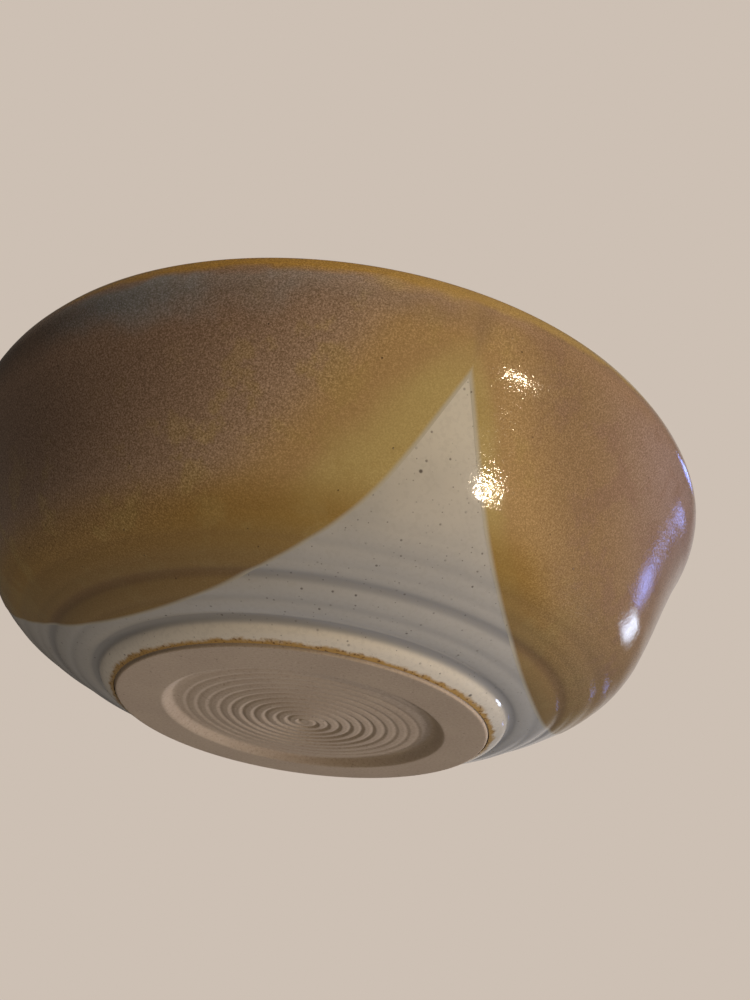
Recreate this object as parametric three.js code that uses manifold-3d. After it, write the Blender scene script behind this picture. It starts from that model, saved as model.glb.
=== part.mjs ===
// A wheel-thrown stoneware yarn bowl: one fired clay body under coats of glaze.
// Units are millimetres and +Z is up. The origin is the centre of the foot ring's resting face.
// The yarn slot is cut through the wall on the +Y side.
import * as THREE from "three";
import { mergeVertices } from "three/addons/utils/BufferGeometryUtils.js";
import Module from "manifold-3d";

// Driving dimensions of the finished bowl
const SEGMENTS = 44; // facets round every turned surface
const FOOT_RADIUS = 39.5; // outer edge of the flat foot ring
const RECESS_RADIUS = 30.4; // inner edge of the foot ring
const RECESS_DEPTH = 1.6;
const RECESS_BEVEL = 2.8; // width of the slope from the foot ring to the recess floor
const RECESS_DISH = 0.3; // how much deeper the recess is at its centre
const GLAZE_LINE = 0.9; // height above the foot at which the glaze was wiped off
const FOOT_SIDE = [[40.3, GLAZE_LINE], [44.2, 3.5]]; // radius and height up the foot's flared side
const OUTSIDE = [[44.2, 3.5], [54.5, 7.6], [65.2, 13.9], [72.1, 24.4], [79, 40.4], [82, 48], [81, 53.2]];
const INSIDE = [[75.5, 53.2], [76.6, 48], [72.6, 37.5], [62.5, 20], [40, 10.8], [0, 9]];
const LIP_CENTRE = [77.4, 56.4]; // radius and height of the middle of the round lip
const LIP_RADIUS = 2;
const LIP_STEPS = 4;

// Glaze coats, measured inwards from the finished surface
const COAT = 0.4; // thickness of one coat
const COAT_GAP = 0.1; // clearance between neighbouring layers
const BASE_FACE = COAT + COAT_GAP; // depth of the white coat's outer face
const CLAY_FACE = 2 * BASE_FACE; // depth of the clay surface
const JOIN_GAP = 0.3; // clearance where two coats meet edge to edge

// The yarn slot seen along Y, as x and z pairs down the middle of its channel
const SLOT_WIDTH = 6.6;
const SLOT_PATH = [
  [-14, 68], [-14, 54], [-14.2, 41], [-9.6, 29.4], [2, 24.8], [12.8, 29.6], [15.6, 40], [10.4, 46.8], [2, 43],
];
const SLOT_END_RADIUS = 4.4; // round eye in which the slot ends
const SLOT_STEPS = 24;
const SLOT_CUT = { from: 45, depth: 60 }; // the cutter's start along Y, and its length

// The ochre glaze was put on by dipping the bowl edge-on three times, so each dip covers the
// part of the bowl beyond one plane: towards its bearing, beyond its distance from the origin.
const DIPS = [
  { name: "ochre_dip_left", bearing: -44.4, lean: 10.6, distance: 47.2 },
  { name: "ochre_dip_right", bearing: 67.9, lean: 3.6, distance: 48.8 },
  { name: "ochre_dip_back", bearing: -171, lean: 9, distance: 41.5 },
];
const CUTTER_SIZE = 400; // side of the block that stands for a half-space

const CLAY = new THREE.MeshStandardMaterial({ color: 0x8a7d6f, roughness: 0.9, metalness: 0 });
const WHITE_GLAZE = new THREE.MeshStandardMaterial({ color: 0xb9b1a4, roughness: 0.25, metalness: 0 });
const OCHRE_GLAZE = new THREE.MeshStandardMaterial({ color: 0x98744a, roughness: 0.3, metalness: 0 });

const wasm = await Module();
wasm.setup();

const point = (r, z) => new THREE.Vector2(r, z);

// A smooth line through the given points, with one more point between each two of them
function smooth(pairs) {
  const curve = new THREE.SplineCurve(pairs.map(([r, z]) => point(r, z)));
  return curve.getPoints(2 * (pairs.length - 1));
}

// The round lip, from the outside of the wall over to the inside
function lip() {
  return Array.from({ length: LIP_STEPS + 1 }, (_, i) => {
    const turn = (Math.PI * i) / LIP_STEPS;
    return point(LIP_CENTRE[0] + LIP_RADIUS * Math.cos(turn), LIP_CENTRE[1] + LIP_RADIUS * Math.sin(turn));
  });
}

// The glazed surface: up the foot's side and the outside, over the lip, down to the middle of the floor
function glazedProfile() {
  const start = point(...FOOT_SIDE[0]);
  return [start, ...smooth(OUTSIDE), ...lip(), ...smooth(INSIDE)];
}

// The same profile moved into the clay, each point along the bisector of its corner
function inset(profile, distance) {
  const last = profile.length - 1;
  const direction = (i) => profile[i + 1].clone().sub(profile[i]).normalize();
  return profile.map((here, i) => {
    if (i === last) return point(0, here.y - distance);
    const before = direction(Math.max(i - 1, 0));
    const after = direction(i);
    const inward = point(-(before.y + after.y), before.x + after.x).normalize();
    const stretch = 1 / inward.dot(point(-after.y, after.x));
    return here.clone().addScaledVector(inward, distance * stretch);
  });
}

function turned(profile) {
  return new THREE.LatheGeometry(profile, SEGMENTS).rotateX(Math.PI / 2);
}

function solid(geometry) {
  const bare = new THREE.BufferGeometry();
  bare.setAttribute("position", geometry.getAttribute("position"));
  bare.setIndex(geometry.index);
  const merged = mergeVertices(bare, 1e-4);
  return new wasm.Manifold(
    new wasm.Mesh({
      numProp: 3,
      vertProperties: merged.attributes.position.array,
      triVerts: new Uint32Array(merged.index.array),
    }),
  );
}

function geometryOf(made) {
  const mesh = made.getMesh();
  const geometry = new THREE.BufferGeometry();
  geometry.setAttribute("position", new THREE.BufferAttribute(mesh.vertProperties, 3));
  geometry.setIndex(new THREE.BufferAttribute(mesh.triVerts, 1));
  geometry.computeVertexNormals();
  return geometry;
}

// A shape drawn in x and z, pushed through the wall along Y
function throughWall(shape) {
  const geometry = new THREE.ExtrudeGeometry(shape, {
    depth: SLOT_CUT.depth,
    bevelEnabled: false,
    curveSegments: 5,
  });
  return solid(geometry.rotateX(Math.PI / 2).translate(0, SLOT_CUT.from + SLOT_CUT.depth, 0));
}

// The space of the slot: its path widened to both sides, with the round eye at its inner end
function slotSpace() {
  const path = new THREE.SplineCurve(SLOT_PATH.map(([x, z]) => point(x, z)));
  const left = [];
  const right = [];
  for (let i = 0; i <= SLOT_STEPS; i++) {
    const middle = path.getPointAt(i / SLOT_STEPS);
    const along = path.getTangentAt(i / SLOT_STEPS);
    const across = point(-along.y, along.x).multiplyScalar(SLOT_WIDTH / 2);
    left.push(middle.clone().add(across));
    right.push(middle.clone().sub(across));
  }
  const channel = throughWall(new THREE.Shape([...left, ...right.reverse()]));
  const eye = new THREE.Shape();
  eye.absarc(...SLOT_PATH.at(-1), SLOT_END_RADIUS, 0, 2 * Math.PI);
  return channel.add(throughWall(eye));
}

// Everything beyond a dip's plane, or a little more where a gap is asked for
function dipSpace({ bearing, lean, distance }, gap = 0) {
  const turn = THREE.MathUtils.degToRad(bearing);
  const tilt = THREE.MathUtils.degToRad(lean);
  const normal = new THREE.Vector3(
    Math.sin(turn) * Math.cos(tilt),
    -Math.cos(turn) * Math.cos(tilt),
    Math.sin(tilt),
  );
  const block = new THREE.BoxGeometry(CUTTER_SIZE, CUTTER_SIZE, CUTTER_SIZE);
  block.applyQuaternion(new THREE.Quaternion().setFromUnitVectors(new THREE.Vector3(0, 0, 1), normal));
  const centre = normal.multiplyScalar(distance - gap + CUTTER_SIZE / 2);
  return solid(block.translate(centre.x, centre.y, centre.z));
}

const glazed = glazedProfile();
const baseFace = inset(glazed, BASE_FACE);
const baseBack = inset(glazed, BASE_FACE + COAT);
const lipTop = 2 * OUTSIDE.length + LIP_STEPS / 2; // the profile's point on top of the lip
const slot = slotSpace();

// The clay: recessed foot below, wall and floor up to the back of the white coats
function clayBody() {
  const under = [
    point(0, RECESS_DEPTH + RECESS_DISH),
    point(RECESS_RADIUS - RECESS_BEVEL, RECESS_DEPTH),
    point(RECESS_RADIUS, 0),
    point(FOOT_RADIUS, 0),
    point(FOOT_SIDE[0][0] - COAT_GAP, GLAZE_LINE - COAT_GAP),
  ];
  return solid(turned([...under, ...inset(glazed, CLAY_FACE)])).subtract(slot);
}

// The white coat outside, from the wiped line above the foot to the top of the lip
function outerBaseGlaze() {
  const face = baseFace.slice(0, lipTop + 1);
  const back = baseBack.slice(0, lipTop + 1).reverse();
  return solid(turned([...face, ...back, face[0]])).subtract(slot);
}

// The white coat inside, from just past the top of the lip to the middle of the floor
function linerGlaze() {
  const shy = ([top, next, ...rest]) => {
    const start = top.clone().lerp(next, JOIN_GAP / top.distanceTo(next));
    return [start, next, ...rest];
  };
  const face = shy(baseFace.slice(lipTop));
  const back = shy(baseBack.slice(lipTop)).reverse();
  return solid(turned([...face, ...back, face[0]])).subtract(slot);
}

// The ochre coats, over the white ones inside and out, each cut back from the dips before it
function ochreCoats() {
  const back = inset(glazed, COAT).reverse();
  const whole = solid(turned([...glazed, ...back, glazed[0]])).subtract(slot);
  return DIPS.map((dip, i) => {
    const earlier = DIPS.slice(0, i).map((other) => dipSpace(other, JOIN_GAP));
    return earlier.reduce((coat, space) => coat.subtract(space), whole.intersect(dipSpace(dip)));
  });
}

const bowl = new THREE.Group();

function place(name, made, material) {
  const mesh = new THREE.Mesh(geometryOf(made), material);
  mesh.name = name;
  bowl.add(mesh);
}

place("stoneware_body", clayBody(), CLAY);
place("outer_base_glaze", outerBaseGlaze(), WHITE_GLAZE);
place("liner_glaze", linerGlaze(), WHITE_GLAZE);
ochreCoats().forEach((coat, i) => place(DIPS[i].name, coat, OCHRE_GLAZE));

export default bowl;
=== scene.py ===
"""The look of a thrown stoneware yarn bowl: clay, two coats of white glaze and three dips of ochre glaze.

Lengths are in millimetres of the drawing, and MM turns them into Blender's metres. Angles round the bowl are
bearings from -Y towards +X. Colours are linear red, green and blue.
"""
import math

import bmesh
import bpy
import numpy as np
from mathutils import Matrix, Vector


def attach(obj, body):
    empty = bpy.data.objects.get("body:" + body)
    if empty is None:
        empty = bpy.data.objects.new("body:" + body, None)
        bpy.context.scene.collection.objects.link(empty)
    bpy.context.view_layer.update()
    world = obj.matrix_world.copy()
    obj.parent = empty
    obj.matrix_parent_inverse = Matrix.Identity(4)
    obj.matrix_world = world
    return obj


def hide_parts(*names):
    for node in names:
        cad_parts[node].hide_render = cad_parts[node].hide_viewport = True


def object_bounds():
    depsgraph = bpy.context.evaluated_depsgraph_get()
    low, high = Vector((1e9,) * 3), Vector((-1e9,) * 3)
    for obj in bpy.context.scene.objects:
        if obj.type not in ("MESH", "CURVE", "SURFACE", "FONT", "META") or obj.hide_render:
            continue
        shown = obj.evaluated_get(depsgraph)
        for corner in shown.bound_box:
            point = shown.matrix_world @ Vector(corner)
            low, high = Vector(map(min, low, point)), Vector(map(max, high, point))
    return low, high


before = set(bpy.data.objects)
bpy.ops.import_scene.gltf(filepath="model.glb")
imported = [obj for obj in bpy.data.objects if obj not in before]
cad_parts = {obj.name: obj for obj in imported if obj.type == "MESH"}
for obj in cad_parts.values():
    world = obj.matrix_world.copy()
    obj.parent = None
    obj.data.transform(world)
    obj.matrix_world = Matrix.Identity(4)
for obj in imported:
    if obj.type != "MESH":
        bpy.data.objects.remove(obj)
cad_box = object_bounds()

# ---------------------------------------------------------------- driving dimensions
BOWL_WIDTH = 164.0
MM = (cad_box[1][0] - cad_box[0][0]) / BOWL_WIDTH  # metres in a millimetre of the drawing

FOOT_RADIUS = 39.5
RECESS_RADIUS = 30.4
RECESS_DEPTH = 1.6
RECESS_BEVEL = 2.5
RECESS_RISE = 0.5  # how much nearer the middle of the recess lies to the table than its edge
RECESS_SHIFT = (0.5, 1.0)  # the recess was trimmed a little off centre
SPIRAL_CENTRE = (0.95, 3.4)  # where the trimming tool left the clay
SPIRAL_PITCH = 2.45
SPIRAL_DEPTH = 0.15
OUTSIDE = [
    (39.9, 0.35), (42.4, 1.75), (44.3, 3.5), (47.2, 4.25), (50.6, 5.5), (54.6, 7.6), (59.8, 10.3),
    (65.2, 13.9), (69.3, 18.5), (72.2, 24.2), (73.98, 28.4), (75.65, 32.6), (77.3, 36.6), (79.0, 40.4),
    (80.65, 43.7), (81.55, 46.5), (81.9, 49.6), (81.0, 53.4), (79.4, 56.5),
]
LIP = [(78.3, 58.0), (77.2, 58.4), (76.1, 57.9), (75.4, 56.2)]
INSIDE = [
    (75.5, 53.2), (76.6, 48.0), (75.2, 42.6), (72.6, 37.5), (68.2, 28.5), (62.5, 20.0), (52.5, 13.8),
    (40.0, 10.8), (22.0, 9.4), (8.0, 9.05), (0.0, 9.0),
]
# Trimmed grooves round the outside: radius, depth and width
GROOVES = [
    (44.2, 0.42, 1.05), (49.4, 0.12, 1.2), (54.4, 0.26, 1.35), (57.6, 0.07, 1.0), (61.4, 0.10, 1.4),
    (65.6, 0.07, 1.4), (69.2, 0.05, 1.4),
]
WALL_RIPPLE = (0.008, 3.9)  # depth and spacing of the finger marks outside
FLOOR_RIPPLE = (0.09, 8.2)  # depth and spacing of the throwing rings inside
FOOT_EDGE = 0.45  # radius of the foot's outer edge
COLUMNS = 288  # faces round the bowl
ROW_STEP = 1.15  # spacing of the rows where the profile is plain
FINE_STEP = 0.3  # spacing at grooves and over the lip
LIP_FINE = 4.5  # the rows are fine over this length to either side of the lip's top
# Unevenness of a thrown pot: waves round the bowl, their size and their phase
OUT_OF_ROUND = ((2, 0.0018, 0.9), (3, 0.0009, 2.3))  # size as a share of the radius
RIM_WAVES = ((2, 0.22, 1.1), (5, 0.10, 0.0))  # size as a height
UNEVEN_HEIGHT = 45.0  # the unevenness grows from the foot up to this height

WHITE_TOP, WHITE_BACK = 0.13, 0.45  # depth of the white coat's two faces below the finished surface
WHITE_THIN, WHITE_FADE = 0.06, 1.2  # how much deeper its face lies at the foot, and over what length
OCHRE_BACK = 0.11  # thickness of the ochre coat
CLAY_DEPTH = 0.6  # depth of the clay under the coats
CLAY_LOWEST = 0.5  # the clay under the coats doesn't reach below this height
DIP_TAPER = 1.3  # width over which an ochre dip thins out to nothing

SLOT_WIDTH = 6.6
# Middle of the slot as seen along Y, from above the lip to its round end
SLOT_PATH = [
    (-14, 68), (-14, 54), (-14.2, 41), (-9.6, 29.4), (2, 24.8),
    (12.8, 29.6), (15.6, 40), (10.4, 46.8), (2, 43),
]
SLOT_SAMPLES = 400
SLOT_END_RADIUS = 4.4
SLOT_ROUNDING = 1.5  # radius of the sponged edge of the slot
SLOT_REACH = (26.0, 30.0, 13.0)  # the slot lies within this X to either side, beyond this Y, above this Z
SLOT_FINE = 5.0  # the faces are finer up to this distance from the slot's edge

# Each dip covers the bowl beyond one plane: bearing and lean of its direction, distance from the origin
DIPS = {
    "ochre_dip_left": (-44.4, 10.6, 47.2),
    "ochre_dip_right": (67.9, 3.6, 48.8),
    "ochre_dip_back": (-171.0, 9.0, 41.5),
}


def dip_normal(bearing, lean):
    """The direction in which a dip lies: its bearing, and how far it leans up from level, in degrees."""
    turn, tilt = math.radians(bearing), math.radians(lean)
    return np.array([math.sin(turn) * math.cos(tilt), -math.cos(turn) * math.cos(tilt), math.sin(tilt)])


def smoothstep(x):
    """A smooth rise from 0 to 1 as x goes from 0 to 1."""
    x = np.clip(x, 0.0, 1.0)
    return x * x * (3 - 2 * x)


# ---------------------------------------------------------------- profile
def spline(pairs, step=0.05):
    """A smooth line through the points, sampled finely: Catmull-Rom with chord-length spacing."""
    p = np.array(pairs, float)
    p = np.vstack([2 * p[0] - p[1], p, 2 * p[-1] - p[-2]])
    out = []
    for i in range(1, len(p) - 2):
        a, b, c, d = p[i - 1], p[i], p[i + 1], p[i + 2]
        t = np.cumsum([0.0] + [math.sqrt(np.linalg.norm(v - u)) for u, v in ((a, b), (b, c), (c, d))])
        n = max(2, int(np.linalg.norm(c - b) / step))
        u = np.linspace(t[1], t[2], n, endpoint=False)[:, None]
        ab = (t[1] - u) / (t[1] - t[0]) * a + (u - t[0]) / (t[1] - t[0]) * b
        bc = (t[2] - u) / (t[2] - t[1]) * b + (u - t[1]) / (t[2] - t[1]) * c
        cd = (t[3] - u) / (t[3] - t[2]) * c + (u - t[2]) / (t[3] - t[2]) * d
        abc = (t[2] - u) / (t[2] - t[0]) * ab + (u - t[0]) / (t[2] - t[0]) * bc
        bcd = (t[3] - u) / (t[3] - t[1]) * bc + (u - t[1]) / (t[3] - t[1]) * cd
        out.append((t[2] - u) / (t[2] - t[1]) * abc + (u - t[1]) / (t[2] - t[1]) * bcd)
    return np.vstack(out + [p[-2][None]])


def glazed_profile():
    """Rows of the finished surface from the glaze line to the floor's centre.

    Returns radius and height of each row, the length along the profile, that length at the top of the lip,
    and how deep the row lies in a groove.
    """
    line = spline(OUTSIDE + LIP + INSIDE)
    length = np.r_[0, np.cumsum(np.linalg.norm(np.diff(line, axis=0), axis=1))]
    top = length[line[:, 1].argmax()]
    tangent = np.gradient(line, length, axis=0)
    inward = np.stack([-tangent[:, 1], tangent[:, 0]], 1)
    inward /= np.linalg.norm(inward, axis=1)[:, None]
    outside = length < top
    depth = np.zeros(len(line))
    spacing = np.full(len(line), ROW_STEP)
    for radius, deep, wide in GROOVES:
        middle = length[outside][np.abs(line[outside, 0] - radius).argmin()]
        dent = np.exp(-(((length - middle) / wide) ** 2))
        depth += deep * dent
        spacing = np.minimum(spacing, ROW_STEP - (ROW_STEP - FINE_STEP) * smoothstep(2 * dent))
    over_lip = np.exp(-(((length - top) / LIP_FINE) ** 4))
    spacing = np.minimum(spacing, ROW_STEP - (ROW_STEP - FINE_STEP) * over_lip)
    # The grooves' depth: the glazes use it to paint pooling, and painted shade, in the grooves.
    pooled = depth.copy()
    # The ripples fade out towards the foot and the lip outside, and towards the lip and the middle inside
    wall = smoothstep((length - 30) / 10) * smoothstep((top - 6 - length) / 10) * outside
    high, apart = WALL_RIPPLE
    depth += high * wall * np.sin(length * 2 * math.pi / apart)
    floor = smoothstep((length - top - 10) / 12) * smoothstep((length[-1] - length) / 14)
    high, apart = FLOOR_RIPPLE
    depth += high * floor * np.sin((length - top) * 2 * math.pi / apart)
    line = line + inward * depth[:, None]
    line[-1, 0] = 0
    count = np.r_[0, np.cumsum(np.diff(length) / spacing[1:])]
    rows = int(round(count[-1]))
    at = np.interp(np.linspace(0, count[-1], rows + 1), count, length)
    r, z, p = (np.interp(at, length, values) for values in (line[:, 0], line[:, 1], pooled))
    return r, z, at, top, p


def foot_profile():
    """Rows of the bare clay from the middle of the recess out to the glaze line."""
    bevel_start = RECESS_RADIUS - RECESS_BEVEL
    floor_rows = [
        (r, RECESS_DEPTH - RECESS_RISE * (1 - (r / bevel_start) ** 2))
        for r in np.arange(0.0, bevel_start, FINE_STEP)
    ]
    bevel = [
        (bevel_start + RECESS_BEVEL * t, RECESS_DEPTH * (1 - smoothstep(t * 1.02)))
        for t in np.linspace(0.06, 1, 12)
    ]
    ring = [(r, 0.0) for r in np.linspace(RECESS_RADIUS + 0.4, FOOT_RADIUS - 0.6, 20)]
    edge = [
        (FOOT_RADIUS - 0.5 + FOOT_EDGE * math.sin(a), FOOT_EDGE - FOOT_EDGE * math.cos(a))
        for a in np.linspace(0.3, 1.3, 4)
    ]
    return floor_rows + bevel + ring + edge


def trimmed(co):
    """A point of the foot with the recess moved off centre and the spiral of the trimming tool in it."""
    r = co.xy.length
    share = 1 - smoothstep((r - RECESS_RADIUS) / (FOOT_RADIUS - RECESS_RADIUS - 1.0))
    x, y = co.x + RECESS_SHIFT[0] * share, co.y + RECESS_SHIFT[1] * share
    if r > RECESS_RADIUS - RECESS_BEVEL:
        return Vector((x, y, co.z))
    across, along = x - SPIRAL_CENTRE[0], y - SPIRAL_CENTRE[1]
    out = math.hypot(across, along)
    turn = math.atan2(across, -along) / (2 * math.pi)
    phase = (out / SPIRAL_PITCH - turn) * 2 * math.pi
    tooth = math.sin(phase) + 0.45 * math.sin(2 * phase + 0.8)
    # No groove in the very middle, shallower ones further out, and none at the bevel
    fade = smoothstep((out - 0.3) / 1.5) * (1 - 0.55 * smoothstep((out - 12.0) / 10.0))
    fade *= smoothstep((RECESS_RADIUS - RECESS_BEVEL - r) / 3.0)
    return Vector((x, y, co.z - SPIRAL_DEPTH * fade * tooth))


# ---------------------------------------------------------------- the yarn slot
def slot_centre_line():
    """A smooth line through the points of the slot's path."""
    p = np.array(SLOT_PATH, float)
    n = len(p)
    out = []
    for t in np.linspace(0, n - 1, SLOT_SAMPLES):
        i = min(int(t), n - 2)
        w = t - i
        a, b, c, d = p[max(i - 1, 0)], p[i], p[i + 1], p[min(i + 2, n - 1)]
        v0, v1 = (c - a) / 2, (d - b) / 2
        out.append((2 * b - 2 * c + v0 + v1) * w**3 + (3 * c - 3 * b - 2 * v0 - v1) * w**2 + v0 * w + b)
    return np.array(out)


SLOT_LINE = slot_centre_line()


def slot_gap(x, z):
    """Distance from the slot's edge, as seen along Y: above 0 in the clay and below 0 in the slot."""
    channel = np.hypot(SLOT_LINE[:, 0] - x, SLOT_LINE[:, 1] - z).min() - SLOT_WIDTH / 2
    eye = math.hypot(SLOT_PATH[-1][0] - x, SLOT_PATH[-1][1] - z) - SLOT_END_RADIUS
    return min(channel, eye)


def near_slot(co):
    """Whether a point lies in the part of the wall that holds the slot."""
    aside, behind, above = SLOT_REACH
    return co[1] > behind and abs(co[0]) < aside and co[2] > above


def within_slot(co):
    return near_slot(co) and slot_gap(co[0], co[2]) < 0


def split_along(bm, layers, level):
    """Adds edges along the line at a given distance from the slot's edge."""
    gap = {v: slot_gap(v.co.x, v.co.z) - level for v in bm.verts if near_slot(v.co)}
    fresh = set()
    for edge in list(bm.edges):
        a, b = edge.verts
        if a not in gap or b not in gap or gap[a] * gap[b] >= 0:
            continue
        t = gap[a] / (gap[a] - gap[b])
        values = [a[layer] + (b[layer] - a[layer]) * t for layer in layers]
        _, v = bmesh.utils.edge_split(edge, a, t)
        for layer, value in zip(layers, values):
            v[layer] = value
        fresh.add(v)
    for face in {f for v in fresh for f in v.link_faces}:
        ends = [v for v in face.verts if v in fresh]
        if len(ends) == 2 and not any(e.other_vert(ends[0]) is ends[1] for e in ends[0].link_edges):
            bmesh.utils.face_split(face, ends[0], ends[1])


def cut_slot(bm, layers, top):
    """Opens the slot through the wall, rounds its edges and closes its sides."""
    near = [e for e in bm.edges if all(near_slot(v.co) for v in e.verts)]
    near = [e for e in near if abs(slot_gap(e.verts[0].co.x, e.verts[0].co.z)) < SLOT_FINE]
    bmesh.ops.subdivide_edges(bm, edges=near, cuts=1, use_grid_fill=True)
    for share in (1.3, 0.75, 0.4, 0.15, 0.0):
        split_along(bm, layers, SLOT_ROUNDING * share)
    inside = [f for f in bm.faces if within_slot(f.calc_center_median())]
    bmesh.ops.delete(bm, geom=inside, context="FACES")
    bm.normal_update()
    moves = []
    for v in bm.verts:
        if near_slot(v.co):
            gap = max(slot_gap(v.co.x, v.co.z), 0.0)
            if gap < SLOT_ROUNDING:
                sink = SLOT_ROUNDING - math.sqrt(SLOT_ROUNDING**2 - (SLOT_ROUNDING - gap) ** 2)
                moves.append((v, v.normal * sink))
    for v, move in moves:
        v.co -= move
    close_slot(bm, layers[0], top)
    bmesh.ops.recalc_face_normals(bm, faces=bm.faces)
    floor = min(bm.faces, key=lambda f: f.calc_center_median().xy.length)
    if floor.normal.z < 0:
        bmesh.ops.reverse_faces(bm, faces=bm.faces)


def close_slot(bm, along, top):
    """Joins the slot's outer edge to its inner edge, through the thickness of the wall."""
    edges = [e for e in bm.edges if e.is_boundary and all(near_slot(v.co) for v in e.verts)]
    following = {}
    for e in edges:
        for v in e.verts:
            following.setdefault(v, []).append(e.other_vert(v))
    start = edges[0].verts[0]
    loop = [start, following[start][0]]
    while True:
        options = [v for v in following[loop[-1]] if v is not loop[-2]]
        if not options or options[0] is start:
            break
        loop.append(options[0])
    # One chain of vertices outside and one inside, both from the mouth's left corner to its right one
    mouth = SLOT_PATH[0][0]
    near_lip = [v for v in loop if abs(v[along] - top) < 4]
    left = min((v for v in near_lip if v.co.x < mouth), key=lambda v: abs(v[along] - top))
    right = min((v for v in near_lip if v.co.x > mouth), key=lambda v: abs(v[along] - top))
    loop = loop[loop.index(left):] + loop[:loop.index(left)]
    turn = loop.index(right)
    first, second = loop[:turn + 1], [left] + loop[:turn - 1:-1]

    def shares(chain):
        """How far along the chain each of its vertices lies, from 0 to 1."""
        steps = [math.hypot(b.co.x - a.co.x, b.co.z - a.co.z) for a, b in zip(chain, chain[1:])]
        total = np.r_[0, np.cumsum(steps)]
        return total / total[-1]

    a, b = shares(first), shares(second)
    i = j = 0
    while i < len(first) - 1 or j < len(second) - 1:
        step_first = j == len(second) - 1 or (i < len(first) - 1 and a[i + 1] <= b[j + 1])
        corner = first[i + 1] if step_first else second[j + 1]
        trio = [first[i], corner, second[j]]
        if len(set(trio)) == 3:
            bm.faces.new(trio)
        i, j = (i + 1, j) if step_first else (i, j + 1)


# ---------------------------------------------------------------- meshes
def turned(bm, rows, layers=(), values=()):
    """Faces of revolution through rows of radius and height, and the rings of vertices made."""
    rings = []
    for k, (r, z) in enumerate(rows):
        if r < 1e-6:
            ring = [bm.verts.new((0, 0, z))]
        else:
            turn = 2 * math.pi / COLUMNS
            ring = [
                bm.verts.new((r * math.sin(i * turn), -r * math.cos(i * turn), z))
                for i in range(COLUMNS)
            ]
        for layer, value in zip(layers, values):
            for v in ring:
                v[layer] = value[k]
        rings.append(ring)
    for low, high in zip(rings, rings[1:]):
        join_rings(bm, low, high)
    return rings


def join_rings(bm, low, high):
    """Faces between two rings of vertices; a ring of one vertex is the middle."""
    for i in range(COLUMNS):
        k = (i + 1) % COLUMNS
        if len(high) == 1:
            bm.faces.new((low[i], low[k], high[0]))
        elif len(low) == 1:
            bm.faces.new((low[0], high[k], high[i]))
        else:
            bm.faces.new((low[i], low[k], high[k], high[i]))


def handmade(p):
    """The slight unevenness of a thrown pot: out of round, and a rim that isn't quite level."""
    turn = np.arctan2(p[:, 0], -p[:, 1])
    up = smoothstep(p[:, 2] / UNEVEN_HEIGHT)
    wide = 1 + up * sum(share * np.cos(waves * turn + phase) for waves, share, phase in OUT_OF_ROUND)
    lift = up * sum(height * np.sin(waves * turn + phase) for waves, height, phase in RIM_WAVES)
    return np.column_stack([p[:, 0] * wide, p[:, 1] * wide, p[:, 2] + lift])


class Surface:
    """The finished glazed surface as arrays: points, normals, faces and values at the points."""

    def __init__(self, bm):
        bm.verts.index_update()
        floats = bm.verts.layers.float
        facing = bm.verts.layers.float_vector["facing"]
        normals = np.array([v[facing] for v in bm.verts])
        self.points = np.array([v.co for v in bm.verts])
        self.normals = normals / np.linalg.norm(normals, axis=1)[:, None]
        self.along = np.array([v[floats["along"]] for v in bm.verts])
        self.pooled = np.array([v[floats["pooled"]] for v in bm.verts])
        self.faces = [[v.index for v in f.verts] for f in bm.faces]


def make_object(name, points, faces, marks, normals, material, slot, nodes):
    """A piece of the bowl: marks are values at its points that the material reads."""
    mesh = bpy.data.meshes.new(name)
    mesh.from_pydata((handmade(points) * MM).tolist(), [], faces)
    mesh.validate()
    mesh.shade_smooth()
    if normals is not None:
        mesh.normals_split_custom_set_from_vertices(normals.tolist())
    for mark, values in marks.items():
        attribute = mesh.attributes.new(mark, "FLOAT", "POINT")
        attribute.data.foreach_set("value", values.astype(np.float32))
    mesh.materials.append(material)
    piece = bpy.data.objects.new(name, mesh)
    bpy.context.scene.collection.objects.link(piece)
    LIT_BY_STUDIO.objects.link(piece)
    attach(piece, "root")
    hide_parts(*nodes)
    return piece


def shell(surface, keep, outer, inner, top):
    """A closed shell over some of the surface's faces, between two depths below it."""
    faces = [f for f, k in zip(surface.faces, keep) if k]
    used = sorted({i for f in faces for i in f})
    new = {old: i for i, old in enumerate(used)}
    n = len(used)
    p, d = surface.points[used], surface.normals[used]
    points = np.vstack([p - d * outer[used][:, None], p - d * inner[used][:, None]])
    front = [[new[i] for i in f] for f in faces]
    back = [[i + n for i in reversed(f)] for f in front]
    directed = {(a, b) for f in front for a, b in zip(f, f[1:] + f[:1])}
    sides = [[b, a, a + n, b + n] for a, b in sorted(directed) if (b, a) not in directed]
    marks = {
        "pooled": np.tile(surface.pooled[used], 2),
        "from_crest": np.tile(top - surface.along[used], 2),
    }
    return points, front + back + sides, marks, np.vstack([d, -d])


def face_mean(surface, values):
    return np.array([values[f].mean() for f in surface.faces])


def finished_surface():
    """The glazed surface with the slot cut through it, as a mesh being edited."""
    bm = bmesh.new()
    names = ("along", "pooled")
    for name in names:
        bm.verts.layers.float.new(name)
    bm.verts.layers.float_vector.new("facing")
    layers = [bm.verts.layers.float[name] for name in names]
    facing = bm.verts.layers.float_vector["facing"]
    r, z, along, top, pooled = glazed_profile()
    turned(bm, list(zip(r, z)), layers, (along, pooled))
    cut_slot(bm, layers, top)
    bm.normal_update()
    for v in bm.verts:
        v[facing] = v.normal
    return bm, top


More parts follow.
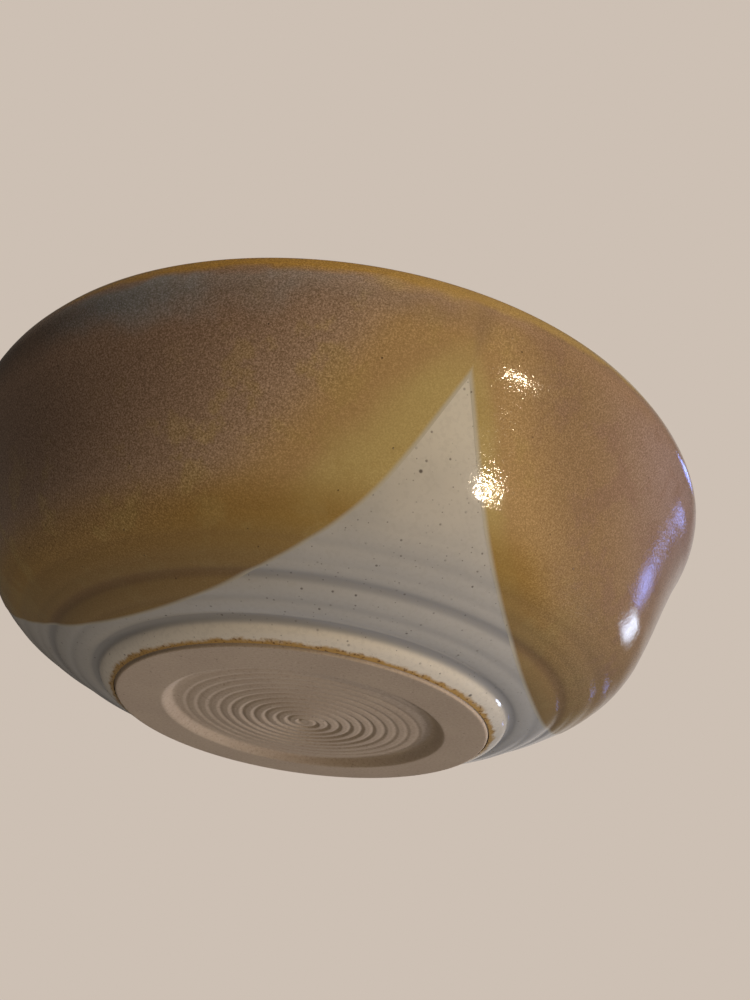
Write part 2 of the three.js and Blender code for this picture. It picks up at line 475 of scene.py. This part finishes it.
def clay_piece(surface_bm, material):
    """The clay: the bare foot in full detail, and the wall under the glaze."""
    surface = Surface(surface_bm)
    bm = bmesh.new()
    points = surface.points - surface.normals * CLAY_DEPTH
    points[:, 2] = np.maximum(points[:, 2], CLAY_LOWEST)
    verts = [bm.verts.new(p) for p in points]
    for f in surface.faces:
        bm.faces.new([verts[i] for i in f])
    open_edges = [e for e in bm.edges if e.is_boundary]
    last = {v for e in open_edges for v in e.verts}
    ordered = sorted(last, key=lambda v: math.atan2(v.co.x, -v.co.y) % (2 * math.pi))
    rings = turned(bm, foot_profile())
    for ring in rings:
        for v in ring:
            v.co = trimmed(v.co)
    join_rings(bm, rings[-1], nearest_order(ordered, rings[-1]))
    bmesh.ops.recalc_face_normals(bm, faces=bm.faces)
    bm.verts.index_update()
    points = np.array([v.co for v in bm.verts])
    faces = [[v.index for v in f.verts] for f in bm.faces]
    bm.free()
    return make_object("bowl_clay", points, faces, {}, None, material, "stoneware", ["stoneware_body"])


def nearest_order(ring, like):
    """The ring's vertices in the same order round the axis as another ring's."""
    start = min(range(len(ring)), key=lambda i: (ring[i].co.xy - like[0].co.xy).length)
    return ring[start:] + ring[:start]


def white_pieces(surface_bm, top, material):
    """The two white coats, which meet on top of the lip and leave the sides of the slot bare."""
    surface = Surface(surface_bm)
    along = face_mean(surface, surface.along)
    middles = np.array([surface.points[f].mean(0) for f in surface.faces])
    slot_side = np.array([near_slot(c) and slot_gap(c[0], c[2]) < SLOT_ROUNDING * 0.2 for c in middles])
    outer = WHITE_TOP + WHITE_THIN * (1 - smoothstep(surface.along / WHITE_FADE))
    inner = np.full(len(outer), WHITE_BACK)
    for name, side, node in (
        ("bowl_white_outside", along < top, "outer_base_glaze"),
        ("bowl_white_inside", along >= top, "liner_glaze"),
    ):
        parts = shell(surface, side & ~slot_side, outer, inner, top)
        make_object(name, *parts, material, "white_glaze", [node])


def ochre_piece(surface_bm, top, name, earlier, material):
    """The surface beyond one dip's plane, less what the earlier dips have covered."""
    bm = surface_bm.copy()
    planes = [(dip_normal(bearing, lean), distance) for bearing, lean, distance in DIPS.values()]
    normal, distance = planes[list(DIPS).index(name)]

    def cut(direction, at, clear_beyond=False, clear_short=False):
        geometry = bm.verts[:] + bm.edges[:] + bm.faces[:]
        place = Vector(direction * at)
        bmesh.ops.bisect_plane(
            bm, geom=geometry, dist=1e-4, plane_co=place, plane_no=Vector(direction),
            clear_outer=clear_beyond, clear_inner=clear_short,
        )

    cut(normal, distance, clear_short=True)
    for other in earlier:
        direction, at = planes[list(DIPS).index(other)]
        cut(direction, at, clear_beyond=True)
    for share in (0.3, 0.65, 1.0):
        cut(normal, distance + DIP_TAPER * share)
    surface = Surface(bm)
    bm.free()
    inside = np.max([surface.points @ n - d for n, d in planes], axis=0)
    outer = (OCHRE_BACK - 0.005) * (1 - smoothstep(inside / DIP_TAPER))
    inner = np.full(len(outer), OCHRE_BACK)
    keep = np.ones(len(surface.faces), bool)
    make_object("bowl_" + name, *shell(surface, keep, outer, inner, top), material, "ochre_glaze", [name])


# ---------------------------------------------------------------- materials
MIX_A, MIX_B, MIX_RESULT = 6, 7, 2  # a Mix node's sockets for colours


class Shader:
    """Short-hand for building one material's nodes."""

    def __init__(self, name):
        self.material = bpy.data.materials.new(name)
        self.material.use_nodes = True
        self.tree = self.material.node_tree
        self.tree.nodes.clear()
        self.output = self.node("ShaderNodeOutputMaterial")
        self.principled = self.node("ShaderNodeBsdfPrincipled")
        self.link(self.principled.outputs["BSDF"], self.output.inputs["Surface"])
        coordinates = self.node("ShaderNodeTexCoord")
        scaled = self.node("ShaderNodeVectorMath", operation="SCALE")
        self.link(coordinates.outputs["Object"], scaled.inputs[0])
        scaled.inputs["Scale"].default_value = 1 / MM
        self.place = scaled.outputs[0]
        split = self.node("ShaderNodeSeparateXYZ")
        self.link(self.place, split.inputs[0])
        self.x, self.y, self.z = split.outputs

    def node(self, kind, **settings):
        made = self.tree.nodes.new(kind)
        for key, value in settings.items():
            setattr(made, key, value)
        return made

    def link(self, a, b):
        self.tree.links.new(a, b)

    def put(self, value, socket):
        if isinstance(value, (int, float, tuple)):
            socket.default_value = value
        else:
            self.link(value, socket)

    def math(self, operation, a, b=0.0, clamp=False):
        made = self.node("ShaderNodeMath", operation=operation, use_clamp=clamp)
        for value, socket in zip((a, b), made.inputs):
            self.put(value, socket)
        return made.outputs[0]

    def times(self, a, b):
        return self.math("MULTIPLY", a, b)

    def plus(self, a, b, clamp=False):
        return self.math("ADD", a, b, clamp)

    def most(self, a, b):
        return self.math("MAXIMUM", a, b)

    def least(self, a, b):
        return self.math("MINIMUM", a, b)

    def step(self, value, low, high, a=0.0, b=1.0):
        """A smooth rise from a to b as value goes from low to high."""
        made = self.node("ShaderNodeMapRange", interpolation_type="SMOOTHSTEP")
        self.put(value, made.inputs["Value"])
        for key, number in (("From Min", low), ("From Max", high), ("To Min", a), ("To Max", b)):
            self.put(number, made.inputs[key])
        return made.outputs["Result"]

    def mix(self, share, a, b, blend="MIX"):
        made = self.node("ShaderNodeMix", data_type="RGBA", blend_type=blend, clamp_factor=True)
        self.put(share, made.inputs["Factor"])
        for value, socket in ((a, made.inputs[MIX_A]), (b, made.inputs[MIX_B])):
            self.put((*value, 1.0) if isinstance(value, tuple) else value, socket)
        return made.outputs[MIX_RESULT]

    def noise(self, scale, detail=2.0, roughness=0.5, stretch=None):
        made = self.node("ShaderNodeTexNoise")
        source = self.place
        if stretch:
            scaled = self.node("ShaderNodeVectorMath", operation="MULTIPLY")
            self.link(source, scaled.inputs[0])
            scaled.inputs[1].default_value = stretch
            source = scaled.outputs[0]
        self.link(source, made.inputs["Vector"])
        made.inputs["Scale"].default_value = scale
        made.inputs["Detail"].default_value = detail
        made.inputs["Roughness"].default_value = roughness
        return made.outputs[0]

    def specks(self, scale, size, share):
        """1 in round specks: scale is cells in a millimetre, size the specks' radius, share how many cells
        have one."""
        made = self.node("ShaderNodeTexVoronoi", feature="F1")
        self.link(self.place, made.inputs["Vector"])
        made.inputs["Scale"].default_value = scale
        split = self.node("ShaderNodeSeparateColor")
        self.link(made.outputs["Color"], split.inputs[0])
        near = self.step(made.outputs["Distance"], size * scale, size * scale * 0.45)
        chosen = self.step(split.outputs[0], share, share * 0.93)
        wide = self.step(split.outputs[1], 0.0, 1.0, 0.35, 1.0)
        return self.times(self.times(near, chosen), wide)

    def beyond(self, dip):
        """How far beyond a dip's plane the surface lies."""
        bearing, lean, distance = DIPS[dip]
        dot = self.node("ShaderNodeVectorMath", operation="DOT_PRODUCT")
        self.link(self.place, dot.inputs[0])
        dot.inputs[1].default_value = tuple(float(v) for v in dip_normal(bearing, lean))
        return self.math("SUBTRACT", dot.outputs["Value"], distance)

    def bump(self, height, distance, strength=1.0, under=None):
        made = self.node("ShaderNodeBump")
        made.inputs["Strength"].default_value = strength
        made.inputs["Distance"].default_value = distance * MM
        self.link(height, made.inputs["Height"])
        if under is not None:
            self.link(under, made.inputs["Normal"])
        return made.outputs["Normal"]

    def mark(self, name):
        made = self.node("ShaderNodeAttribute", attribute_name=name)
        return made.outputs["Fac"]


def glaze_surface(s, rough, coarse, dry=None):
    """What both glazes share: a glassy face with orange peel, fine grain that glitters, and small bumps.

    coarse is the height of the grain; dry is 1 where the glaze has run so thin that it is dull.
    """
    s.principled.inputs["IOR"].default_value = 1.52
    smear = s.step(s.noise(0.16, 3), 0.35, 0.7, 0.0, 0.05)
    roughness = s.plus(rough, smear)
    if dry is not None:
        roughness = s.plus(roughness, s.times(dry, 0.4))
    s.link(roughness, s.principled.inputs["Roughness"])
    peel = s.bump(s.noise(0.35, 2), 0.05, 0.6)
    grain = s.bump(s.noise(1.5, 2, 0.6), coarse, 1.0, peel)
    bumps = s.bump(s.specks(0.5, 0.2, 0.3), 0.12, 0.7, grain)
    s.link(bumps, s.principled.inputs["Normal"])


def speckled(s, colour, kinds, dark):
    """Dark iron specks; kinds gives cells in a millimetre, radius, share of cells and strength."""
    for scale, size, share, strength in kinds:
        colour = s.mix(s.times(s.specks(scale, size, share), strength), colour, dark)
    return colour


def white_glaze():
    """Clouded white: brighter high up, grey low down, greyer in the grooves where it pools and with painted
    shade there, cream beside the foot.
    """
    s = Shader("white_glaze")
    cloud = s.step(s.noise(0.07, 4), 0.35, 0.68)
    colour = s.mix(cloud, (0.60, 0.565, 0.51), (0.54, 0.515, 0.475))
    colour = s.mix(s.step(s.z, 17.0, 33.0, 0.0, 0.8), colour, (0.75, 0.705, 0.615))
    colour = s.mix(s.step(s.z, 17.0, 8.0, 0.0, 0.75), colour, (0.52, 0.505, 0.49))
    # Greyer in the grooves: partly glaze pooled there, partly painted shade in the grooves.
    colour = s.mix(s.step(s.mark("pooled"), 0.03, 0.26, 0.0, 0.8), colour, (0.33, 0.325, 0.33))
    colour = s.mix(s.step(s.z, 3.8, 2.4, 0.0, 0.95), colour, (0.80, 0.735, 0.64))
    haze = s.step(s.noise(1.1, 3), 0.5, 0.62, 0.0, 0.12)
    colour = s.mix(haze, colour, (0.40, 0.37, 0.33))
    line = foot_line(s)
    colour = s.mix(line, colour, (0.50, 0.31, 0.11))
    crumbs = s.step(s.noise(1.4, 3), 0.54, 0.66)
    colour = s.mix(s.times(line, crumbs), colour, (0.20, 0.11, 0.05))
    kinds = ((0.5, 0.32, 0.5, 0.65), (1.0, 0.18, 0.45, 0.6), (0.16, 0.5, 0.16, 0.9))
    colour = speckled(s, colour, kinds, (0.085, 0.065, 0.055))
    s.link(colour, s.principled.inputs["Base Color"])
    glaze_surface(s, 0.06, 0.018)
    return s.material


def foot_line(s):
    """The thin amber line where the glaze ends above the bare foot."""
    radius = s.node("ShaderNodeVectorMath", operation="LENGTH")
    flat = s.node("ShaderNodeVectorMath", operation="MULTIPLY")
    s.link(s.place, flat.inputs[0])
    flat.inputs[1].default_value = (1, 1, 0)
    s.link(flat.outputs[0], radius.inputs[0])
    wander = s.step(s.noise(0.45, 3, 0.6), 0.3, 0.7, -0.35, 0.35)
    ragged = s.plus(radius.outputs["Value"], wander)
    near = s.step(ragged, FOOT_RADIUS + 1.7, FOOT_RADIUS + 0.7)
    return s.times(near, s.step(s.z, 2.6, 2.0))


def dip_thickness(s, left, right, back):
    """How thick the ochre is, and how mauve: both rise from the edges of the dips.

    The left and back dips thin out towards their edges over a wide band, and the right one over a narrow
    band.
    """
    drift = s.step(s.noise(0.06, 3), 0.3, 0.7, -0.09, 0.09)
    wide = s.most(s.step(left, 0.5, 23.0), s.step(back, 0.5, 22.0))
    thick = s.plus(s.most(wide, s.step(right, 0.5, 9.0)), drift, clamp=True)
    thick = s.plus(thick, s.step(s.z, 32.0, 50.0, 0.0, 0.4), clamp=True)
    return thick, s.step(wide, 0.55, 1.0)


def dip_colours(s, left, right, thick, mauve):
    """Olive where the ochre is thin, then ochre, then mauve; brown low down and far from the right dip's
    edge; painted shade darkens the left dip towards the bowl's left side.
    """
    olive, ochre = (0.505, 0.385, 0.158), (0.45, 0.295, 0.132)
    colour = s.mix(s.step(thick, 0.0, 0.5), olive, ochre)
    colour = s.mix(mauve, colour, (0.40, 0.275, 0.18))
    low = s.step(s.z, 21.0, 14.0)
    outside_right = s.step(right, 14.0, 4.0, 0.0, 0.8)
    colour = s.mix(s.times(low, outside_right), colour, (0.35, 0.207, 0.052))
    # Painted shade: the left dip darkens towards the bowl's left side, which faces away from the light.
    colour = s.mix(s.step(left, 13.0, 34.0, 0.0, 0.9), colour, (0.265, 0.172, 0.115))
    islands = s.step(s.noise(0.11, 4, 0.6), 0.50, 0.62)
    islands = s.times(islands, s.step(left, 36.0, 20.0, 0.0, 0.4))
    colour = s.mix(islands, colour, (0.44, 0.315, 0.115))
    colour = s.mix(s.step(right, 5.0, 16.0, 0.0, 0.9), colour, (0.305, 0.198, 0.107))
    colour = s.mix(s.step(right, 16.0, 36.0, 0.0, 0.9), colour, (0.355, 0.25, 0.23))
    stains = s.step(s.noise(0.13, 4, 0.65), 0.48, 0.64)
    stains = s.times(stains, s.step(right, 6.0, 16.0, 0.0, 0.45))
    colour = s.mix(stains, colour, (0.27, 0.165, 0.12))
    return s.mix(s.step(s.z, 14.0, 7.0, 0.0, 0.6), colour, (0.25, 0.175, 0.10))


def band_below_lip(s, colour):
    """Below the lip the glaze is thickest and turns purple-grey, deeper and bluer on the left side."""
    level = s.plus(s.z, s.step(s.noise(0.12, 3), 0.3, 0.7, -1.2, 1.2))
    sideways = s.step(s.x, -45.0, 30.0)
    start = s.plus(s.times(sideways, 4.5), 40.5)
    band = s.step(s.math("SUBTRACT", level, start), 0.0, 8.0)
    band = s.times(band, s.step(level, 54.0, 51.0))
    grey = s.mix(sideways, (0.25, 0.26, 0.265), (0.37, 0.24, 0.15))
    grey = s.mix(s.step(s.x, -46.0, -64.0), grey, (0.20, 0.135, 0.085))
    blotch = s.step(s.noise(0.09, 3), 0.35, 0.6, 0.45, 0.85)
    return s.mix(s.times(band, blotch), colour, grey)


def lip_colours(s, colour):
    """Amber over the lip, and a dry brown edge on its crest; returns the colour and the edge."""
    crest = s.math("ABSOLUTE", s.mark("from_crest"))
    rim = s.step(s.plus(crest, s.step(s.noise(0.2, 2), 0.3, 0.7, -0.5, 0.5)), 7.6, 4.6)
    amber = s.mix(s.step(s.x, -30.0, 50.0), (0.40, 0.22, 0.032), (0.48, 0.33, 0.12))
    colour = s.mix(rim, colour, amber)
    edge = s.step(s.plus(crest, s.step(s.noise(0.35, 3), 0.3, 0.7, -0.3, 0.3)), 2.1, 1.1)
    return s.mix(s.times(edge, 0.9), colour, (0.09, 0.04, 0.015)), edge


def crystals(s, colour, thick, mauve):
    """Fine pale and dark crystals, which are strongest where the glaze is thick."""
    grain = s.noise(3.2, 3, 0.7)
    strong = s.plus(s.step(thick, 0.1, 0.9, 0.25, 0.65), s.times(mauve, 0.4))
    pale = s.times(s.step(grain, 0.50, 0.62), strong)
    dark = s.times(s.step(grain, 0.48, 0.36), s.times(strong, 0.8))
    colour = s.mix(pale, colour, (1.52, 1.57, 1.75), "MULTIPLY")
    return s.mix(dark, colour, (0.62, 0.59, 0.54), "MULTIPLY")


def ochre_glaze():
    s = Shader("ochre_glaze")
    left, right, back = (s.beyond(dip) for dip in DIPS)
    deepest = s.most(s.most(left, right), back)
    pairs = [s.least(a, b) for a, b in ((left, right), (right, back), (back, left))]
    twice = s.most(s.most(pairs[0], pairs[1]), pairs[2])
    thick, mauve = dip_thickness(s, left, right, back)
    colour = dip_colours(s, left, right, thick, mauve)
    colour = band_below_lip(s, colour)
    colour = s.mix(s.times(s.step(twice, 0.3, 3.0), 0.45), colour, (0.29, 0.19, 0.12))
    # Darker in the grooves: partly glaze pooled there, partly painted shade in the grooves.
    colour = s.mix(s.step(s.mark("pooled"), 0.03, 0.26, 0.0, 0.45), colour, (0.17, 0.10, 0.065))
    colour, edge = lip_colours(s, colour)
    colour = crystals(s, colour, thick, mauve)
    pale_fringe = s.step(deepest, 1.0, 0.0, 0.0, 0.9)
    colour = s.mix(pale_fringe, colour, (0.56, 0.53, 0.46))
    kinds = ((0.5, 0.24, 0.16, 0.7), (0.13, 0.42, 0.14, 0.85))
    colour = speckled(s, colour, kinds, (0.07, 0.04, 0.025))
    s.link(colour, s.principled.inputs["Base Color"])
    glaze_surface(s, 0.06, 0.045, dry=edge)
    return s.material


def bare_clay():
    """Sandy, unglazed stoneware with pits and single scratches."""
    s = Shader("bare_stoneware")
    cloud = s.step(s.noise(0.06, 4), 0.3, 0.7)
    colour = s.mix(cloud, (0.43, 0.335, 0.245), (0.39, 0.30, 0.22))
    sand = s.noise(1.7, 3, 0.75)
    colour = s.mix(s.step(sand, 0.52, 0.68, 0.0, 0.5), colour, (0.51, 0.415, 0.32))
    colour = s.mix(s.step(sand, 0.45, 0.33, 0.0, 0.55), colour, (0.25, 0.185, 0.135))
    kinds = ((0.45, 0.27, 0.2, 0.75), (0.14, 0.45, 0.16, 0.85))
    colour = speckled(s, colour, kinds, (0.06, 0.045, 0.035))
    s.link(colour, s.principled.inputs["Base Color"])
    s.principled.inputs["Roughness"].default_value = 0.6
    s.principled.inputs["Specular IOR Level"].default_value = 0.3
    grain = s.bump(sand, 0.05, 0.5)
    scratches = s.noise(0.5, 2, 0.5, (0.35, 9.0, 1.0))
    pits = s.bump(s.specks(0.35, 0.35, 0.2), -0.2, 0.8, grain)
    s.link(s.bump(s.step(scratches, 0.66, 0.72), 0.04, 0.5, pits), s.principled.inputs["Normal"])
    return s.material


# ---------------------------------------------------------------- studio
BACKDROP = (0.610, 0.527, 0.456, 1)
FLOOR_COLOUR = (0.715, 0.643, 0.582, 1)
ROOM_DARK, ROOM_PALE = (0.06, 0.052, 0.045, 1), (0.48, 0.43, 0.39, 1)
TABLE_SIDE = (0.25, 0.86, 0.40)  # where the glaze mirrors something pale past the bowl

CAMERA_PLACE = (0, -226.4, -74.4)
CAMERA_RIGHT, CAMERA_UP = (0.9872, -0.1082, 0.1173), (-0.1556, -0.4892, 0.8582)
CAMERA_LENS, CAMERA_SENSOR = 39.6, 36.0

LIGHT_DISTANCE = 1.1  # metres from the bowl to each lamp
LIGHT_AIM = (0, 0, 30)
LAMPLIGHT = (1.0, 0.80, 0.56)
ROOMLIGHT = (1.0, 0.86, 0.68)
TABLELIGHT = (1.0, 0.90, 0.78)
DAYLIGHT = (0.25, 0.36, 1.0)
# Which objects a light reaches
LIT_BY_STUDIO = bpy.data.collections.new("lit_by_studio")
LIT_BY_OVERHEAD = bpy.data.collections.new("lit_by_overhead")
LIT_ACROSS_FOOT = bpy.data.collections.new("lit_across_foot")


def look_matrix(place, right, up):
    x, y = Vector(right).normalized(), Vector(up).normalized()
    back = x.cross(y).normalized()
    rotation = Matrix((x, back.cross(x), back)).transposed().to_4x4()
    return Matrix.Translation(Vector(place)) @ rotation


def add_camera():
    data = bpy.data.cameras.new("camera")
    data.lens = CAMERA_LENS
    data.sensor_width = CAMERA_SENSOR
    data.clip_start = 0.01
    camera = bpy.data.objects.new("camera", data)
    bpy.context.scene.collection.objects.link(camera)
    camera.matrix_world = look_matrix(Vector(CAMERA_PLACE) * MM, CAMERA_RIGHT, CAMERA_UP)
    bpy.context.scene.camera = camera


def add_light(name, direction, size, power, colour, tall=None, mirrored=True):
    """A soft area light aimed at the bowl, from a direction; size and tall are in metres, power in watts.

    mirrored says whether the glaze shows its reflection.
    """
    data = bpy.data.lights.new(name, "AREA")
    data.shape = "RECTANGLE" if tall else "DISK"
    data.size = size
    if tall:
        data.size_y = tall
    data.energy = power
    data.color = colour
    light = bpy.data.objects.new(name, data)
    bpy.context.scene.collection.objects.link(light)
    aim = Vector(LIGHT_AIM) * MM
    light.location = aim + Vector(direction).normalized() * LIGHT_DISTANCE
    light.rotation_euler = (light.location - aim).to_track_quat("Z", "Y").to_euler()
    light.visible_glossy = mirrored
    light.light_linking.receiver_collection = LIT_BY_STUDIO
    return light


def add_lights():
    add_light("lamp", (0.68, -0.70, -0.24), 0.075, 2.6, LAMPLIGHT)
    add_light("room", (0.66, -0.72, 0.20), 0.7, 5.2, ROOMLIGHT, mirrored=False)
    add_light("front", (-0.30, -0.80, 0.50), 0.7, 0.3, ROOMLIGHT, mirrored=False)
    add_light("below", (0.0, 0.0, -1.0), 0.5, 2.5, TABLELIGHT, mirrored=False)
    add_light("side", (0.85, 0.25, -0.42), 0.3, 3.0, (0.60, 0.74, 1.0), mirrored=False)
    across = add_light("across_foot", (0.82, 0.10, -0.30), 0.12, 5.0, (0.95, 0.93, 1.0), mirrored=False)
    across.light_linking.receiver_collection = LIT_ACROSS_FOOT
    add_light("window_high", (0.68, 0.52, 0.52), 0.14, 0.26, DAYLIGHT, 0.09)
    add_light("window_middle", (0.86, 0.465, 0.16), 0.12, 0.19, DAYLIGHT, 0.09)
    add_light("window_low", (0.837, 0.547, -0.01), 0.13, 0.75, (0.68, 0.78, 1.0), 0.22)
    add_light("window_sill", (0.594, 0.799, -0.092), 0.03, 0.02, DAYLIGHT, 0.06)
    add_light("top", (0.05, 0.05, 1.0), 0.9, 7.0, ROOMLIGHT, mirrored=False)
    add_light("behind", (-0.35, 0.80, 0.45), 0.8, 6.0, ROOMLIGHT, mirrored=False)
    add_light("sky", (0.05, 0.05, 1.0), 0.9, 1.6, ROOMLIGHT)
    add_light("sky_behind", (-0.05, 0.88, 0.47), 0.22, 0.8, ROOMLIGHT)
    add_overhead()


def add_overhead():
    """A soft sun for the floor alone, so that the floor is as pale as the backdrop."""
    sun = bpy.data.lights.new("overhead", "SUN")
    sun.energy = 2.5
    sun.angle = math.radians(40)
    sun.color = (1.0, 0.97, 0.94)
    overhead = bpy.data.objects.new("overhead", sun)
    bpy.context.scene.collection.objects.link(overhead)
    overhead.rotation_euler = (math.radians(12), math.radians(10), 0)
    overhead.visible_glossy = False
    overhead.light_linking.receiver_collection = LIT_BY_OVERHEAD


def add_world():
    """A dim room that is paler where a lit table would be seen past the bowl, at the far right and below."""
    world = bpy.data.worlds.new("world")
    bpy.context.scene.world = world
    world.use_nodes = True
    tree = world.node_tree
    tree.nodes.clear()
    node = tree.nodes.new
    output, background = node("ShaderNodeOutputWorld"), node("ShaderNodeBackground")
    path, mix, coordinates = node("ShaderNodeLightPath"), node("ShaderNodeMix"), node("ShaderNodeTexCoord")
    mix.data_type = "RGBA"
    towards, rise, room = node("ShaderNodeVectorMath"), node("ShaderNodeMapRange"), node("ShaderNodeMix")
    towards.operation = "DOT_PRODUCT"
    towards.inputs[1].default_value = Vector(TABLE_SIDE).normalized()
    tree.links.new(coordinates.outputs["Generated"], towards.inputs[0])
    rise.interpolation_type = "SMOOTHSTEP"
    rise.inputs["From Min"].default_value = 0.86
    rise.inputs["From Max"].default_value = 0.99
    tree.links.new(towards.outputs["Value"], rise.inputs["Value"])
    room.data_type = "RGBA"
    room.inputs[MIX_A].default_value = ROOM_DARK
    room.inputs[MIX_B].default_value = ROOM_PALE
    tree.links.new(rise.outputs["Result"], room.inputs["Factor"])
    tree.links.new(path.outputs["Is Camera Ray"], mix.inputs["Factor"])
    tree.links.new(room.outputs[MIX_RESULT], mix.inputs[MIX_A])
    mix.inputs[MIX_B].default_value = BACKDROP
    tree.links.new(mix.outputs[MIX_RESULT], background.inputs["Color"])
    tree.links.new(background.outputs[0], output.inputs["Surface"])


def add_floor():
    """A pale floor that shows from above only, so that the bowl can be seen from below too."""
    mesh = bpy.data.meshes.new("floor")
    half = 1.6
    corners = [(-half, -half, 0), (half, -half, 0), (half, half, 0), (-half, half, 0)]
    mesh.from_pydata(corners, [], [(0, 1, 2, 3)])
    floor = bpy.data.objects.new("floor", mesh)
    floor.location.z = -0.2 * MM
    bpy.context.scene.collection.objects.link(floor)
    LIT_BY_OVERHEAD.objects.link(floor)
    material = bpy.data.materials.new("floor")
    material.use_nodes = True
    tree = material.node_tree
    tree.nodes.clear()
    node = tree.nodes.new
    output, mix = node("ShaderNodeOutputMaterial"), node("ShaderNodeMixShader")
    diffuse, clear = node("ShaderNodeBsdfDiffuse"), node("ShaderNodeBsdfTransparent")
    diffuse.inputs["Color"].default_value = FLOOR_COLOUR
    path, geometry, both = node("ShaderNodeLightPath"), node("ShaderNodeNewGeometry"), node("ShaderNodeMath")
    # 1 only for a camera ray that meets the floor's upper side
    both.operation = "SUBTRACT"
    both.use_clamp = True
    tree.links.new(path.outputs["Is Camera Ray"], both.inputs[0])
    tree.links.new(geometry.outputs["Backfacing"], both.inputs[1])
    tree.links.new(both.outputs[0], mix.inputs[0])
    tree.links.new(clear.outputs[0], mix.inputs[1])
    tree.links.new(diffuse.outputs[0], mix.inputs[2])
    tree.links.new(mix.outputs[0], output.inputs["Surface"])
    mesh.materials.append(material)


bpy.context.scene.view_settings.view_transform = "Standard"
add_camera()
add_lights()
add_world()
add_floor()

white, ochre, clay = white_glaze(), ochre_glaze(), bare_clay()
whole, lip_top = finished_surface()
LIT_ACROSS_FOOT.objects.link(clay_piece(whole, clay))
white_pieces(whole, lip_top, white)
for number, dip_name in enumerate(DIPS):
    ochre_piece(whole, lip_top, dip_name, list(DIPS)[:number], ochre)
whole.free()
